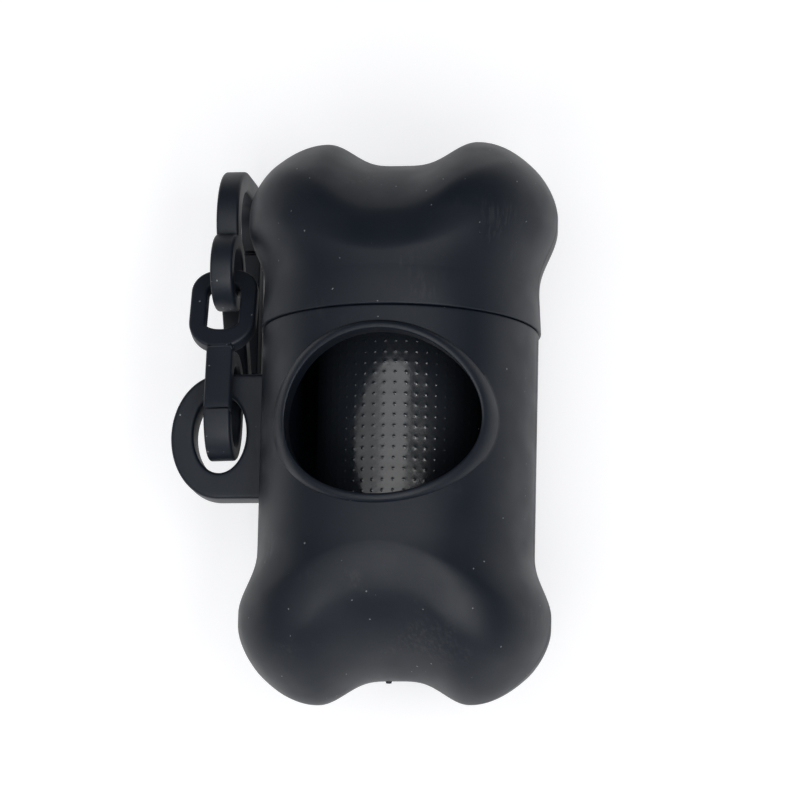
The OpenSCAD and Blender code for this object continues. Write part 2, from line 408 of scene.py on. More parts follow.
@dataclass(frozen=True)
class BoneEnd:
    """The solid form of one end: a barrel that widens sideways, closed by a notched, rounded end face."""

    barrel: float = 21.05 * MM
    half_length: float = 43.5 * MM
    notch: float = 3.65 * MM
    tip_at: float = 11.6 * MM
    tip_fall: float = 0.058 / MM
    waist: float = 20.34 * MM
    flare_length: float = 9.75 * MM
    flare: tuple[float, float] = (2.7 * MM, 0.25 * MM)
    flare_ease: float = 1.25
    crown: float = 21.88 * MM
    crown_length: float = 15.0 * MM
    crown_fall: float = 1.7
    edge_blend: float = 3.12 * MM
    edge_length: float = 9.0 * MM
    joint: float = 20.0 * MM
    eye: float = 27.0 * MM
    reach: tuple[float, float] = (5.0 * MM, 34.0 * MM)
    halvings: int = 36

    @staticmethod
    def ease(share: np.ndarray) -> np.ndarray:
        """Smooth step from 0 to 1."""
        share = np.clip(share, 0, 1)
        return share * share * (3 - 2 * share)

    def side_gap(self, x: np.ndarray, y: np.ndarray, z: np.ndarray) -> np.ndarray:
        """Near distance to the barrel's widening wall."""
        share = self.ease((y - self.waist) / self.flare_length) ** self.flare_ease
        wide, high = self.barrel + self.flare[0] * share, self.barrel + self.flare[1] * share
        return (np.hypot(x / wide, z / high) - 1) * self.barrel

    def face_gap(self, x: np.ndarray, y: np.ndarray, z: np.ndarray) -> np.ndarray:
        """Near distance to the end face, which has the notch between its lobes."""
        x = np.abs(x)
        share = (1 - np.cos(math.pi * np.minimum(x, self.tip_at) / self.tip_at)) / 2
        end = self.half_length - self.notch * (1 - share * share)
        end = end - self.tip_fall * np.maximum(x - self.tip_at, 0) ** 2
        along = np.maximum((y - self.joint) / (end - self.joint), 0)
        return ((along ** self.crown_fall + (np.abs(z) / self.crown) ** self.crown_fall)
                ** (1 / self.crown_fall) - 1) * self.crown_length

    def gap(self, x: np.ndarray, y: np.ndarray, z: np.ndarray) -> np.ndarray:
        """Near distance from points to the surface, negative inside.

        Args:
            x: Across the case, from its axis.
            y: Along the case, from its middle.
            z: Up, from the axis.

        Returns:
            The distances.
        """
        side, face = self.side_gap(x, y, z), self.face_gap(x, y, z)
        blend = 0.02 * MM + self.edge_blend * self.ease((y - self.joint) / self.edge_length)
        share = np.maximum(blend - np.abs(side - face), 0) / blend
        return np.maximum(side, face) + share * share * blend / 4

    def rows(self, turns: np.ndarray, count: int) -> tuple[np.ndarray, np.ndarray]:
        """Rings of points from the joint with the barrel to the tip.

        Args:
            turns: Angles of the ring's points from the top, in radians.
            count: Number of rings.

        Returns:
            The rings, relative to the axis, and the tip.
        """
        first = math.atan2(self.barrel, self.joint - self.eye)
        polar = first * (1 - np.arange(count) / count)
        ways = np.stack([
            np.sin(polar)[:, None] * np.sin(turns)[None, :],
            np.repeat(np.cos(polar)[:, None], len(turns), 1),
            np.sin(polar)[:, None] * np.cos(turns)[None, :]], -1)
        distance = self.march(ways)
        points = ways * distance[..., None] + np.array([0, self.eye, 0])
        points[0] = barrel_ring(self.barrel, self.joint, turns)
        ahead = np.array([[[0.0, 1.0, 0.0]]])
        tip = (ahead * self.march(ahead)[..., None])[0, 0] + np.array([0, self.eye, 0])
        return points, tip

    def march(self, ways: np.ndarray) -> np.ndarray:
        """Distance from the eye to the surface along each way, by halving."""
        near = np.full(ways.shape[:-1], self.reach[0])
        far = np.full(ways.shape[:-1], self.reach[1])
        for _ in range(self.halvings):
            middle = (near + far) / 2
            spot = ways * middle[..., None]
            inside = self.gap(spot[..., 0], spot[..., 1] + self.eye, spot[..., 2]) < 0
            near = np.where(inside, middle, near)
            far = np.where(inside, far, middle)
        return (near + far) / 2


def barrel_ring(radius: float, along: float, turns: np.ndarray) -> np.ndarray:
    """A ring round the case's axis; turns are angles from the top towards +X, in radians."""
    return np.column_stack([radius * np.sin(turns), np.full(len(turns), along), radius * np.cos(turns)])


def lathe(profile: list[tuple[float, float]], turns: np.ndarray) -> np.ndarray:
    """Rings for a profile of places along the axis and radii."""
    return np.array([barrel_ring(radius, along, turns) for along, radius in profile])


def fillet(corner: tuple[float, float], start: float, size: float, steps: int = 4
           ) -> list[tuple[float, float]]:
    """A quarter round of a lathe profile.

    Args:
        corner: Middle of the round, as place along the axis and radius.
        start: First angle in degrees; the round turns by +90 degrees from it.
        size: Radius of the round.
        steps: Number of steps.

    Returns:
        Profile points, both ends included.
    """
    angles = [math.radians(start + 90 * i / steps) for i in range(steps + 1)]
    return [(corner[0] + size * math.cos(a), corner[1] + size * math.sin(a)) for a in angles]


@dataclass
class Case:
    """The two moulded shells: body with window, rim, lug and neck, and the cap."""

    axis: float = 21.4 * MM
    barrel: float = 21.05 * MM
    mouth: float = 21.4 * MM
    mouth_taper: float = 6.0 * MM
    seam: float = 13.7 * MM
    seam_gap: float = 0.1 * MM
    bore: float = 18.6 * MM
    bore_end: float = 22.0 * MM
    floor: float = 28.5 * MM
    floor_radius: float = 16.6 * MM
    pocket: float = 6.0 * MM
    pocket_x: float = 10.4 * MM
    pocket_end: float = 35.5 * MM
    neck: float = 19.75 * MM
    neck_length: float = 8.0 * MM
    socket: float = 19.9 * MM
    window: tuple[float, float] = (15.0 * MM, 12.5 * MM)
    window_at: float = -2.55 * MM
    rim: tuple[float, float] = (17.1 * MM, 13.85 * MM)
    rim_height: float = 0.7 * MM
    rim_profile: tuple[tuple[float, float], ...] = (
        (0, 0), (0.02, 0.16), (0.06, 0.34), (0.12, 0.52), (0.2, 0.69), (0.3, 0.84), (0.42, 0.95), (0.55, 1.0),
        (0.68, 1.0), (0.8, 0.95), (0.88, 0.87), (0.94, 0.77), (0.98, 0.64), (1.0, 0.48))
    edge: float = 0.22 * MM
    patch_turn: float = math.radians(82)
    patch_columns: int = 112
    patch_rows: int = 56
    side_columns: int = 104
    outer_steps: int = 14
    outer_spread: float = 1.25
    inner_steps: int = 8
    opening_steps: int = 6
    opening_start: float = 0.3
    pocket_steps: int = 4
    parting_turn: float = math.radians(0.3)
    parting_height: float = 0.035 * MM
    end_rows: int = 150
    lug_at: tuple[float, float] = (-27.4 * MM, -2.4 * MM)
    lug_half: tuple[float, float] = (7.6 * MM, 9.7 * MM)
    lug_eye: tuple[float, float] = (4.1 * MM, 6.1 * MM)
    lug_eye_at: float = -1.95 * MM
    lug_thickness: float = 4.6 * MM
    lug_edge: float = 0.55 * MM
    end: BoneEnd = field(default_factory=BoneEnd)

    @property
    def turns(self) -> np.ndarray:
        """Angles of every full ring's points, closer together over the window."""
        top = np.linspace(-self.patch_turn, self.patch_turn, self.patch_columns + 1)[:-1]
        return np.concatenate([top, self.side_turns[:-1]])

    @property
    def side_turns(self) -> np.ndarray:
        """Angles of the points beside and under the window patch, three of them at each parting line."""
        even = np.linspace(self.patch_turn, 2 * math.pi - self.patch_turn, self.side_columns + 1)
        lines = [middle + shift for middle in (math.pi / 2, 3 * math.pi / 2)
                 for shift in (-self.parting_turn, 0, self.parting_turn)]
        clear = [turn for turn in even if min(abs(turn - line) for line in lines) > self.parting_turn]
        return np.sort(np.concatenate([clear, lines]))

    def raise_parting(self, rows: np.ndarray, turns: np.ndarray) -> np.ndarray:
        """Lifts the points on the parting lines of an outside wall.

        Args:
            rows: Rings of points, relative to the axis.
            turns: Angles of the rings' points.

        Returns:
            The rings with their parting ridges.
        """
        on_line = np.isclose(np.cos(turns), 0, atol=1e-6)
        lift = np.where(on_line, self.parting_height, 0.0)[None, :]
        away = np.hypot(rows[..., 0], rows[..., 2])
        share = 1 + lift / np.maximum(away, self.pocket)
        return rows * np.stack([share, np.ones_like(share), share], -1)

    def patch_edge(self, low: float, high: float) -> np.ndarray:
        """Turn and place along the axis of the points round the window patch, from its +X side."""
        turn = np.linspace(-self.patch_turn, self.patch_turn, self.patch_columns + 1)
        along = np.linspace(low, high, self.patch_rows + 1)
        sides = [
            np.column_stack([np.full(len(along) - 1, self.patch_turn), along[:-1]]),
            np.column_stack([turn[::-1][:-1], np.full(len(turn) - 1, high)]),
            np.column_stack([np.full(len(along) - 1, -self.patch_turn), along[::-1][:-1]]),
            np.column_stack([turn[:-1], np.full(len(turn) - 1, low)])]
        return np.concatenate(sides)

    def window_angles(self, edge: np.ndarray) -> np.ndarray:
        """Angle round the window that belongs to each point of the patch's edge."""
        along = edge[:, 1] - self.window_at
        reach = np.where(along > 0, along.max(), -along.min())
        return np.arctan2(along / reach, edge[:, 0] / self.patch_turn)

    def window_loop(self, half: tuple[float, float], radius: float, angles: np.ndarray) -> Loop:
        """A loop of points over the window's ellipse at a distance from the axis."""
        x = half[0] * np.cos(angles)
        y = self.window_at + half[1] * np.sin(angles)
        return np.column_stack([x, y, np.sqrt(radius ** 2 - x ** 2)])

    def wall(self, shell: Shell, radius: float, half: tuple[float, float], span: tuple[float, float],
             shares: np.ndarray, parting: bool = False) -> np.ndarray:
        """Adds a straight round wall with the window's hole in it.

        Args:
            shell: The piece that takes the wall.
            radius: Radius of the wall.
            half: Half sizes of the hole, seen from above.
            span: Start and end along the axis.
            shares: Places of the rings between the hole and the edge of the window patch.
            parting: Whether the wall carries the parting lines.

        Returns:
            The angles of the hole's points.
        """
        edge = self.patch_edge(*span)
        angles = self.window_angles(edge)
        hole_x = half[0] * np.cos(angles)
        hole = np.column_stack([np.arcsin(hole_x / radius), self.window_at + half[1] * np.sin(angles)])
        rows = []
        for share in shares:
            turn, along = (hole * (1 - share) + edge * share).T
            rows.append(np.column_stack([radius * np.sin(turn), along, radius * np.cos(turn)]))
        shell.strip(np.array(rows))
        around = self.side_turns
        side = np.array([barrel_ring(radius, y, around) for y in np.linspace(*span, self.patch_rows + 1)])
        if parting:
            side[:-1] = self.raise_parting(side[:-1], around)
        shell.strip(side, closed=False)
        return angles

    def rim_rows(self, angles: np.ndarray) -> np.ndarray:
        """Loops over the rounded rim and down the opening's wall to the bore."""
        rows = []
        for share, rise in self.rim_profile:
            half = tuple(o * (1 - share) + i * share for o, i in zip(self.rim, self.window))
            rows.append(self.window_loop(half, self.barrel + rise * self.rim_height, angles))
        first = self.barrel + self.opening_start * self.rim_height
        for radius in np.linspace(first, self.bore, self.opening_steps + 1):
            rows.append(self.window_loop(self.window, radius, angles))
        return np.array(rows)

    def floor_with_pockets(self, shell: Shell, sign: int) -> None:
        """Adds the bore's end, its floor and the cored pockets of the lobes."""
        turns = self.turns
        ring = barrel_ring(self.floor_radius, sign * self.floor, turns)
        shell.strip(lathe([(sign * self.bore_end, self.bore), (sign * self.floor, self.floor_radius)], turns))
        holes = [circle((side * self.pocket_x, 0), self.pocket) for side in (-1, 1)]
        outlines = [ring[:, [0, 2]], *holes]
        level = sign * self.floor
        shell.fill(outlines, lambda flat: np.insert(flat, 1, level, axis=1))
        for hole in holes:
            rows = [np.column_stack([hole[:, 0], np.full(len(hole), sign * y), hole[:, 1]])
                    for y in np.linspace(self.floor, self.pocket_end, self.pocket_steps + 1)]
            shell.strip(np.array(rows))
            shell.fan(rows[-1], (hole[:, 0].mean(), sign * self.pocket_end, 0))

    def add_end(self, shell: Shell, sign: int) -> None:
        """Adds the outside of a bone end."""
        rows, tip = self.end.rows(self.turns, self.end_rows)
        rows = self.raise_parting(rows, self.turns)
        rows[..., 1] *= sign
        tip[1] *= sign
        shell.strip(rows)
        shell.fan(rows[-1], tip)

    def settle(self, piece: bpy.types.Object) -> bpy.types.Object:
        """Moves a shell's mesh up to the axis's height."""
        piece.data.transform(Matrix.Translation((0, 0, self.axis)))
        return piece

    def build_body(self) -> bpy.types.Object:
        """The body shell, with its window, rim, lug and neck."""
        shell = Shell()
        turns = self.turns
        low, seam = -self.end.joint, self.seam
        self.add_end(shell, -1)
        high = seam - self.edge
        outer = np.linspace(0, 1, self.outer_steps + 1) ** self.outer_spread
        angles = self.wall(shell, self.barrel, self.rim, (low, high), outer, parting=True)
        shell.strip(self.rim_rows(angles))
        round_over = fillet((seam - self.edge, self.barrel - self.edge), 90, self.edge)
        round_over = [(2 * (seam - self.edge) - y, r) for y, r in round_over]
        neck_end = seam + self.neck_length
        shell.strip(lathe(round_over + [(seam, self.neck), (seam + 1.5 * MM, self.neck)]
                          + [(neck_end - self.edge, self.neck), (neck_end, self.neck - self.edge)]
                          + [(neck_end, self.bore), (high, self.bore)], turns))
        self.wall(shell, self.bore, self.window, (low, high), np.linspace(0, 1, self.inner_steps + 1))
        shell.strip(lathe([(low, self.bore), (-self.bore_end, self.bore)], turns))
        self.floor_with_pockets(shell, -1)
        body = shell.build("case_body_shell")
        body = combine(body, self.build_lug(), "UNION")
        return self.settle(body)

    def build_lug(self) -> bpy.types.Object:
        """The flat lug with its eye, reaching into the barrel's wall."""
        root = -(self.bore + 1.0 * MM)
        rounded = arc(self.lug_at, self.lug_half, 90, 270, 60)
        outline = np.concatenate([rounded, [[root, self.lug_at[1] - self.lug_half[1]],
                                            [root, self.lug_at[1] + self.lug_half[1]]]])
        eye = oval((self.lug_at[0], self.lug_eye_at), self.lug_eye, 96)
        plate = Plate(self.lug_thickness, self.lug_edge)
        return plate.build("lug", [outline, eye], lambda flat: flat)

    def build_cap(self) -> bpy.types.Object:
        """The cap shell, with its slightly proud mouth."""
        shell = Shell()
        turns = self.turns
        self.add_end(shell, 1)
        start = self.seam + self.seam_gap
        mouth_round = fillet((start + self.edge, self.mouth - self.edge), 90, self.edge)
        socket_end = self.seam + self.neck_length + 0.2 * MM
        profile = [(self.end.joint, self.barrel), (self.seam + self.mouth_taper, self.barrel)]
        profile += mouth_round
        profile += [(start, self.socket), (socket_end, self.socket), (socket_end, self.bore)]
        profile += [(self.bore_end, self.bore)]
        rows = lathe(profile, turns)
        rows[:2] = self.raise_parting(rows[:2], turns)
        shell.strip(rows)
        self.floor_with_pockets(shell, 1)
        return self.settle(shell.build("cap_shell"))


@dataclass
class NeckRibs:
    """Small ribs round the body's neck that grip the cap."""

    count: int = 6
    neck: float = 19.75 * MM
    axis: float = 21.4 * MM
    start: float = 13.9 * MM
    length: float = 6.3 * MM
    width: float = 1.0 * MM
    height: float = 0.11 * MM
    root: float = 0.3 * MM
    run_out: float = 0.05 * MM

    def build(self, plastic: bpy.types.Material) -> bpy.types.Object:
        """All the ribs as one piece.

        Args:
            plastic: Material of the shells.

        Returns:
            The finished piece.
        """
        half, top = self.width / 2, self.height
        section = np.array([[-half, -self.root], [half, -self.root], [half, 0.2 * top],
                            [0.7 * half, 0.85 * top], [0, top], [-0.7 * half, 0.85 * top],
                            [-half, 0.2 * top]])
        ease = ((0, 0.0), (0.25 * MM, 0.6), (0.7 * MM, 1.0), (self.length - 0.7 * MM, 1.0),
                (self.length - 0.25 * MM, 0.6), (self.length, 0.0))
        rows = []
        for along, share in ease:
            lowered = section[:, 1] * share - (1 - share) * self.run_out
            lifted = np.where(section[:, 1] > 0, lowered, section[:, 1])
            rows.append(np.column_stack([section[:, 0], np.full(len(section), self.start + along), lifted]))
        shell = Shell()
        shell.strip(np.array(rows))
        for row in (rows[0], rows[-1]):
            shell.fan(row, row.mean(0))
        piece = shell.build("neck_ribs")
        piece = apply_tree(piece, self.ring_tree(), {
            "Count": self.count,
            "Neck Radius": self.neck,
            "Plastic": plastic})
        piece.data.transform(Matrix.Translation((0, 0, self.axis)))
        return piece

    def ring_tree(self) -> bpy.types.NodeTree:
        """Geometry tree that repeats a rib round the neck."""
        tree = GeometryTree("ribs_round_neck", [
            ("Count", "NodeSocketInt", 6),
            ("Neck Radius", "NodeSocketFloat", 0.02),
            ("Plastic", "NodeSocketMaterial", None)])
        number = tree.node("GeometryNodeInputIndex").outputs[0]
        steps = tree.math("MULTIPLY", tree.math("ADD", number, 0.5), 2 * math.pi)
        turn = tree.math("DIVIDE", steps, tree.input("Count"))
        place = tree.node("ShaderNodeCombineXYZ", {
            0: tree.math("MULTIPLY", tree.math("SINE", turn), tree.input("Neck Radius")),
            2: tree.math("MULTIPLY", tree.math("COSINE", turn), tree.input("Neck Radius"))})
        spots = tree.node("GeometryNodePoints", {"Count": tree.input("Count"), "Position": place.outputs[0]})
        turned = tree.node("ShaderNodeCombineXYZ", {1: turn})
        ribs = tree.node("GeometryNodeInstanceOnPoints", {
            "Points": spots.outputs[0],
            "Instance": tree.geometry,
            "Rotation": turned.outputs[0]})
        tree.close(ribs.outputs[0], tree.input("Plastic"))
        return tree.tree


@dataclass
class GateStub:
    """The broken-off stub that moulding left in the body's end notch."""

    at: tuple[float, float] = (-0.9 * MM, 20.0 * MM)
    face: float = -39.8 * MM
    radius: float = 0.42 * MM
    height: float = 0.28 * MM
    points: int = 20

    def build(self) -> bpy.types.Object:
        """The stub, with its torn top."""
        turns = np.linspace(0, 2 * math.pi, self.points + 1)[:-1]
        tear = 1 + 0.18 * np.sin(3 * turns + 0.7) + 0.1 * np.sin(7 * turns)
        rows = []
        for reach, radius in ((-1.2, 1.25), (0.0, 1.15), (0.35, 1.0), (0.85, 0.92)):
            wide = self.radius * radius * (tear if reach > 0.5 else 1)
            rows.append(np.column_stack([self.at[0] + wide * np.cos(turns),
                                         self.face - reach * self.height * np.ones(len(turns)),
                                         self.at[1] + wide * np.sin(turns)]))
        shell = Shell()
        shell.strip(np.array(rows))
        shell.fan(rows[0], rows[0].mean(0))
        shell.fan(rows[-1], rows[-1].mean(0) - np.array([0, 0.1 * self.height, 0]))
        return shell.build("gate_stub")


# ---------------------------------------------------------------- roll of bags


@dataclass
class BagRoll:
    """The partly used refill roll, lying on the back of the bore."""

    radius: float = 13.2 * MM
    length: float = 55.0 * MM
    core: float = 6.0 * MM
    axis: float = 17.892 * MM
    dots_round: int = 51
    dot_rows: int = 33
    steps_per_dot: int = 6
    dot_radius: float = 0.42 * MM
    dot_height: float = 0.05 * MM
    edge: float = 0.35 * MM
    layers: int = 14
    layer_depth: float = 0.14 * MM

    def build(self, film: bpy.types.Material) -> bpy.types.Object:
        """The roll with its embossed dots and the wound layers at its ends.

        Args:
            film: Material of the film.

        Returns:
            The finished piece.
        """
        columns = self.dots_round * self.steps_per_dot
        turns = np.linspace(0, 2 * math.pi, columns + 1)[:-1]
        half = self.length / 2
        straight = half - self.edge
        rows = self.dot_rows * self.steps_per_dot
        shell = Shell()
        layers = np.linspace(self.core, self.radius - self.edge, 2 * self.layers + 1)
        end = [(half - (self.layer_depth if i % 2 else 0.0), r) for i, r in enumerate(layers)]
        profile = [(-y, r) for y, r in end]
        profile += [(-straight - self.edge * math.cos(t), self.radius - self.edge * (1 - math.sin(t)))
                    for t in np.linspace(0.3, math.pi / 2, 5)]
        profile += [(y, self.radius) for y in np.linspace(-straight, straight, rows + 1)[1:-1]]
        profile += [(straight + self.edge * math.cos(t), self.radius - self.edge * (1 - math.sin(t)))
                    for t in np.linspace(math.pi / 2, 0.3, 5)]
        profile += end[::-1] + [(-half, self.core)]
        shell.strip(lathe(profile, turns))
        piece = shell.build("bag_roll_film")
        piece = apply_tree(piece, self.emboss_tree(), {
            "Dots Round": self.dots_round,
            "Row Pitch": (self.length - 2 * self.edge) / self.dot_rows,
            "Dot Radius": self.dot_radius,
            "Dot Height": self.dot_height,
            "Roll Radius": self.radius,
            "Film": film})
        piece.data.transform(Matrix.Translation((0, 0, self.axis)))
        return piece

    def emboss_tree(self) -> bpy.types.NodeTree:
        """Geometry tree that raises rows of dots on the roll's round side."""
        tree = GeometryTree("film_dots", [
            ("Dots Round", "NodeSocketInt", 50), ("Row Pitch", "NodeSocketFloat", 0.0016),
            ("Dot Radius", "NodeSocketFloat", 0.0004), ("Dot Height", "NodeSocketFloat", 0.0001),
            ("Roll Radius", "NodeSocketFloat", 0.013), ("Film", "NodeSocketMaterial", None)])
        place = tree.node("GeometryNodeInputPosition").outputs[0]
        split = tree.node("ShaderNodeSeparateXYZ", {0: place})
        radius = tree.length(split.outputs[0], split.outputs[2])
        share = tree.math("DIVIDE", tree.math("ARCTAN2", split.outputs[0], split.outputs[2]), 2 * math.pi)
        count = tree.input("Dots Round")
        cell = tree.math("SUBTRACT", tree.math("FRACT", tree.math("MULTIPLY", share, count)), 0.5)
        pitch = tree.math("DIVIDE", tree.math("MULTIPLY", tree.input("Roll Radius"), 2 * math.pi), count)
        across = tree.math("MULTIPLY", cell, pitch)
        row = tree.math("FRACT", tree.math("DIVIDE", split.outputs[1], tree.input("Row Pitch")))
        row = tree.math("SUBTRACT", row, 0.5)
        along = tree.math("MULTIPLY", row, tree.input("Row Pitch"))
        distance = tree.math("DIVIDE", tree.length(across, along), tree.input("Dot Radius"))
        slope = tree.math("SUBTRACT", 1.0, distance, clamp=True)
        smooth = tree.math("MULTIPLY", tree.math("MULTIPLY", slope, slope),
                           tree.math("SUBTRACT", 3.0, tree.math("MULTIPLY", slope, 2.0)))
        side = tree.math("MULTIPLY", tree.input("Roll Radius"), 0.9999)
        on_side = tree.math("GREATER_THAN", radius, side)
        height = tree.math("MULTIPLY", tree.math("MULTIPLY", smooth, tree.input("Dot Height")), on_side)
        outward = tree.node("ShaderNodeCombineXYZ", {0: tree.math("DIVIDE", split.outputs[0], radius),
                                                     2: tree.math("DIVIDE", split.outputs[2], radius)})
        sunk = tree.math("SUBTRACT", height, tree.math("MULTIPLY", tree.input("Dot Height"), on_side))
        offset = tree.node("ShaderNodeVectorMath", {0: outward.outputs[0], 3: sunk}, operation="SCALE")
        moved = tree.node("GeometryNodeSetPosition", {"Geometry": tree.geometry, "Offset": offset.outputs[0]})
        tree.close(moved.outputs[0], tree.input("Film"))
        return tree.tree


# ---------------------------------------------------------------- link and clip


@dataclass
class Link:
    """The moulded link: a slit loop round the lug's rim, a bar and a flat ring."""

    hinge: tuple[float, float, float] = (-27.25 * MM, 5.445 * MM, 21.4 * MM)
    skew: float = math.radians(1.2)
    tilt: float = math.radians(12)
    width: float = 4.1 * MM
    loop_in: float = 3.4 * MM
    loop_wall: float = 2.25 * MM
    loop_end: float = -4.2 * MM
    loop_reach: float = 7.5 * MM
    slit_at: float = -5.6 * MM
    slit: float = 0.3 * MM
    slit_over: float = 0.9 * MM
    bar: float = 4.8 * MM
    thickness: float = 2.4 * MM
    ring_bend: float = math.radians(8)
    ring_width: float = 10.3 * MM
    ring_hole: tuple[float, float] = (5.2 * MM, 8.1 * MM)
    ring_bar: float = 2.6 * MM
    ring_foot: float = 2.95 * MM
    shoulder: float = 5.0 * MM
    corner: float = 3.6 * MM
    hole_round: float = 1.2 * MM
    edge: float = 0.45 * MM

    def loop_outlines(self) -> list[Loop]:
        """Side view of the loop and bar, with the ring's end towards +Y."""
        out = self.loop_in + self.loop_wall
        far = (self.loop_end, 0)
        outer = np.concatenate([arc((0, 0), (out, out), -90, 90, 32),
                                arc(far, (self.loop_reach, out), 90, 270, 44)])
        bar = block((0, out - self.thickness), (self.bar + 0.4 * MM, out))
        inner = np.concatenate([arc((0, 0), (self.loop_in, self.loop_in), -90, 90, 32),
                                arc(far, (self.loop_reach - self.loop_wall, self.loop_in), 90, 270, 44)])
        slit = block((self.slit_at - self.slit / 2, self.loop_in - self.slit_over),
                     (self.slit_at + self.slit / 2, out + self.slit_over))
        return region([outer, bar, inner, slit], lambda on: bool(on & {0, 1}) and not on & {2, 3})

    def ring_outlines(self) -> list[Loop]:
        """Plan of the ring, with the bend on the X axis and the far bar towards +Y."""
        half = self.ring_width / 2
        far = self.ring_foot + self.ring_hole[1] + self.ring_bar
        turn = math.degrees(math.acos(self.width / self.ring_width))
        foot = self.shoulder * math.sin(math.radians(turn))
        outer = np.concatenate([
            [[-self.width / 2, -0.6 * MM], [self.width / 2, -0.6 * MM]],
            arc((0, foot), (half, self.shoulder), -turn, 0, 16),
            arc((half - self.corner, far - self.corner), (self.corner, self.corner), 0, 90, 16),
            arc((self.corner - half, far - self.corner), (self.corner, self.corner), 90, 180, 16),
            arc((0, foot), (half, self.shoulder), 180, 180 + turn, 16)])
        wide = self.ring_hole[0] / 2
        top = self.ring_foot + self.ring_hole[1]
        turned = self.hole_round
        hole = np.concatenate([
            arc((0, self.ring_foot + turned), (wide, turned), 180, 360, 24),
            arc((wide - turned, top - turned), (turned, turned), 0, 90, 8),
            arc((turned - wide, top - turned), (turned, turned), 90, 180, 8)])
        return [outer, hole]

    def build(self) -> bpy.types.Object:
        """The whole link in its place."""
        side = Plate(self.width, self.edge).build(
            "link_moulding", self.loop_outlines(), lambda p: p[:, [2, 0, 1]])
        flat = Plate(self.thickness, self.edge).build("ring", self.ring_outlines(), lambda p: p)
        middle = self.loop_in + self.loop_wall - self.thickness / 2
        bend = Matrix.Rotation(-self.ring_bend, 4, "X")
        flat.data.transform(Matrix.Translation((0, self.bar, middle)) @ bend)
        piece = combine(side, flat, "UNION", 35)
        piece.data.transform(Matrix.Translation(self.hinge) @ Matrix.Rotation(self.skew, 4, "Z")
                             @ Matrix.Rotation(-self.tilt, 4, "X"))
        return piece


@dataclass
class Clip:
    """The strap clip: a banded frame with an eye, and the sprung gate in its straight side."""

    hinge: tuple[float, float, float] = (-27.2 * MM, 22.6667 * MM, 20.5308 * MM)
    thickness: float = 3.45 * MM
    length: float = 35.6 * MM
    height: float = 23.8 * MM
    band: float = 3.2 * MM
    reach: float = 18.3 * MM
    far_round: float = 8.5 * MM
    near_round: float = 6.0 * MM
    lift: float = 0.05 * MM
    eye_at: tuple[float, float] = (1.0 * MM, 1.2 * MM)
    eye_in: float = 3.6 * MM
    eye_out: float = 6.0 * MM
    gate_thickness: float = 3.0 * MM
    gate_gap: float = 0.25 * MM
    knuckle: float = 1.6 * MM
    lip: float = 2.4 * MM
    edge: float = 0.5 * MM

    @property
    def floor(self) -> float:
        """Height of the straight side's underside over the hinge."""
        return self.lift - self.hinge[2]

    @property
    def far(self) -> tuple[float, float]:
        """Middle of the wide end's upper round."""
        return self.reach - self.far_round, self.floor + self.height - self.far_round

    @property
    def near(self) -> tuple[float, float]:
        """Middle of the narrow end's round."""
        return self.reach - self.length + self.near_round, self.floor + self.near_round

    @property
    def gate_span(self) -> tuple[float, float, float]:
        """Pivot and tip of the gate along the case, and its height."""
        return self.near[0] + 1.0 * MM, self.far[0] - 1.0 * MM, self.floor + self.band / 2

    def outline(self, depth: float) -> Loop:
        """Outline of the frame at a depth in from its edge."""
        run = np.array(self.far) - np.array(self.near)
        turn = 90 + math.degrees(math.atan2(run[1], run[0])
                                 + math.asin((self.far_round - self.near_round) / np.linalg.norm(run)))
        wide, narrow = self.far_round - depth, self.near_round - depth
        low = (self.far[0], self.floor + self.far_round)
        return np.concatenate([arc(low, (wide, wide), -90, 0, 28), arc(self.far, (wide, wide), 0, turn, 36),
                               arc(self.near, (narrow, narrow), turn, 270, 36)])

    def put(self, flat: np.ndarray) -> np.ndarray:
        """Stands a flat outline up in the clip's plane, with nothing under the straight side's underside."""
        level = np.maximum(flat[:, 1], self.floor)
        return np.column_stack([flat[:, 2], flat[:, 0], level]) + np.array(self.hinge)

    def build_frame(self) -> bpy.types.Object:
        """The frame with its eye."""
        pivot, tip, level = self.gate_span
        cut = block((pivot, self.floor - MM), (tip - self.lip, self.floor + self.band + MM))
        lip_cut = block((tip - self.lip - MM, level), (tip, level + self.band))
        shapes = [self.outline(0), self.outline(self.band), circle(self.eye_at, self.eye_out, 96),
                  circle(self.eye_at, self.eye_in, 72), cut, lip_cut,
                  circle((pivot, level), self.knuckle + self.gate_gap, 48)]
        outlines = region(shapes, lambda on: (0 in on and 1 not in on or 2 in on) and not on & {3, 4, 5, 6})
        return Plate(self.thickness, self.edge).build("clip_frame_moulding", outlines, self.put)

    def build_gate(self) -> bpy.types.Object:
        """The gate with its round root and lipped tip."""
        pivot, tip, level = self.gate_span
        end = tip - self.gate_gap
        slab = np.array([(pivot, level - self.knuckle), (end - self.lip, level - self.knuckle),
                         (end - self.lip, level + self.gate_gap), (end, level + self.gate_gap),
                         (end - 0.5 * MM, level + self.knuckle), (pivot, level + self.knuckle)])
        outlines = region([circle((pivot, level), self.knuckle, 48), slab], lambda on: bool(on))
        return Plate(self.gate_thickness, 0.3 * MM).build("clip_gate_moulding", outlines, self.put)


# ---------------------------------------------------------------- node trees


